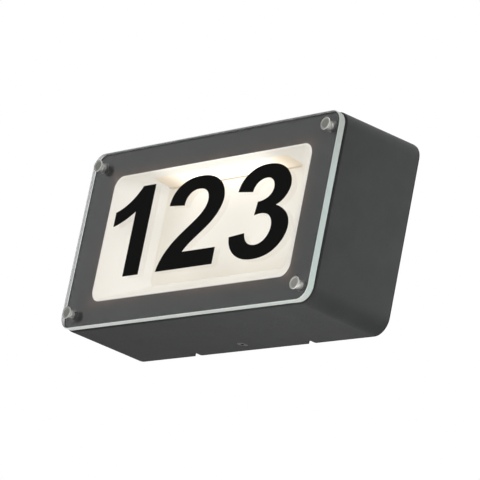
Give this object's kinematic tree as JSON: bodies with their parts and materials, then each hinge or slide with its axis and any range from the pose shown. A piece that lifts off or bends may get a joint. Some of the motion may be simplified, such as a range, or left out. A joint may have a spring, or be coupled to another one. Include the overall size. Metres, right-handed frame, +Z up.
{
  "type": "illuminated house number sign",
  "caption": "Wall lamp whose window lights black house numerals on a clear glass pane held by thumb caps in front of a deep dark housing.",
  "frame": {"origin": "centre of the wall plate's rear face, on the wall's surface", "axes": "+X to the right seen from the front, +Y into the wall, +Z up"},
  "size_m": [0.264, 0.075, 0.134],
  "materials": {
    "plate_steel": "zinc-plated sheet",
    "grommet_rubber": "matt black rubber",
    "seal_foam": "closed-cell foam",
    "housing_paint": "fine-textured dark grey powder coat",
    "tray_white": "satin white",
    "screw_steel": "zinc-plated",
    "diffuser_opal": "opal acrylic",
    "channel_aluminium": "mill-finish extrusion",
    "board_white": "white solder mask",
    "chip_yellow": "phosphor under clear resin",
    "driver_plastic": "moulded case",
    "terminal_plastic": "natural nylon",
    "brass_plain": "turned brass",
    "tag_tinned": "tinned copper",
    "pane_glass": "clear float glass, ground edges",
    "sleeve_steel": "turned bushing",
    "washer_rubber": "dark grey silicone",
    "numeral_black": "cut sheet, satin",
    "cap_steel": "turned stainless steel",
    "retainer_nylon": "natural nylon",
    "screw_dark": "blackened steel"
  },
  "bodies": {
    "wall_side": {"wall_plate": "plate_steel", "cable_grommet": "grommet_rubber"},
    "lamp": {"housing": "housing_paint", "rim_seal": "seal_foam", "threaded_inserts": "brass_plain", "reflector_tray": "tray_white", "tray_screws": "screw_steel", "led_diffuser": "diffuser_opal", "led_channel": "channel_aluminium", "led_board": "board_white", "led_chips": "chip_yellow", "led_screws": "screw_steel", "driver_case": "driver_plastic", "driver_screws": "screw_steel", "terminal_block": "terminal_plastic", "terminal_mount_screws": "screw_steel", "terminal_clamp_screws": "brass_plain", "earth_tag": "tag_tinned", "earth_screw": "brass_plain"},
    "glass": {"front_glass": "pane_glass", "glass_sleeves": "sleeve_steel", "spacer_washers": "washer_rubber", "digit_1": "numeral_black", "digit_2": "numeral_black", "digit_3": "numeral_black"},
    "lock_screw": {"lock_screw": "screw_dark"},
    "clamp_nut": {"clamp_nut": "screw_steel"},
    "retainer_tl": {"cap_retainer_tl": "retainer_nylon"},
    "cap_tl": {"glass_cap_tl": "cap_steel"},
    "retainer_tr": {"cap_retainer_tr": "retainer_nylon"},
    "cap_tr": {"glass_cap_tr": "cap_steel"},
    "retainer_bl": {"cap_retainer_bl": "retainer_nylon"},
    "cap_bl": {"glass_cap_bl": "cap_steel"},
    "retainer_br": {"cap_retainer_br": "retainer_nylon"},
    "cap_br": {"glass_cap_br": "cap_steel"}
  },
  "joints": [
    {"name": "housing_pull_off", "type": "slide", "parent": "wall_side", "child": "lamp", "axis": [0, -1, 0], "range_m": [0, 0.045]},
    {"name": "glass_lift_off", "type": "slide", "parent": "lamp", "child": "glass", "axis": [0, -1, 0], "range_m": [0, 0.03]},
    {"name": "lock_screw_turn", "type": "hinge", "parent": "lamp", "child": "lock_screw", "pos_m": [0, -0.011, -0.066], "axis": [0, 0, 1], "range_deg": [0, 1080]},
    {"name": "clamp_nut_travel", "type": "slide", "parent": "lamp", "child": "clamp_nut", "axis": [0, 0, 1], "range_m": [0, 0.0021]},
    {"name": "cap_tl_travel", "type": "slide", "parent": "glass", "child": "retainer_tl", "axis": [0, -1, 0], "range_m": [0, 0.0042]},
    {"name": "cap_tl_turn", "type": "hinge", "parent": "retainer_tl", "child": "cap_tl", "pos_m": [-0.12, -0.071, 0.0545], "axis": [0, -1, 0], "range_deg": [0, 2160]},
    {"name": "cap_tr_travel", "type": "slide", "parent": "glass", "child": "retainer_tr", "axis": [0, -1, 0], "range_m": [0, 0.0042]},
    {"name": "cap_tr_turn", "type": "hinge", "parent": "retainer_tr", "child": "cap_tr", "pos_m": [0.12, -0.071, 0.0545], "axis": [0, -1, 0], "range_deg": [0, 2160]},
    {"name": "cap_bl_travel", "type": "slide", "parent": "glass", "child": "retainer_bl", "axis": [0, -1, 0], "range_m": [0, 0.0042]},
    {"name": "cap_bl_turn", "type": "hinge", "parent": "retainer_bl", "child": "cap_bl", "pos_m": [-0.12, -0.071, -0.0545], "axis": [0, -1, 0], "range_deg": [0, 2160]},
    {"name": "cap_br_travel", "type": "slide", "parent": "glass", "child": "retainer_br", "axis": [0, -1, 0], "range_m": [0, 0.0042]},
    {"name": "cap_br_turn", "type": "hinge", "parent": "retainer_br", "child": "cap_br", "pos_m": [0.12, -0.071, -0.0545], "axis": [0, -1, 0], "range_deg": [0, 2160]}
  ],
  "couplings": [
    {"joint": "lock_screw_turn", "follows": "clamp_nut_travel", "rad_per_m": 8976},
    {"joint": "cap_tl_turn", "follows": "cap_tl_travel", "rad_per_m": 8976},
    {"joint": "cap_tr_turn", "follows": "cap_tr_travel", "rad_per_m": 8976},
    {"joint": "cap_bl_turn", "follows": "cap_bl_travel", "rad_per_m": 8976},
    {"joint": "cap_br_turn", "follows": "cap_br_travel", "rad_per_m": 8976}
  ]
}
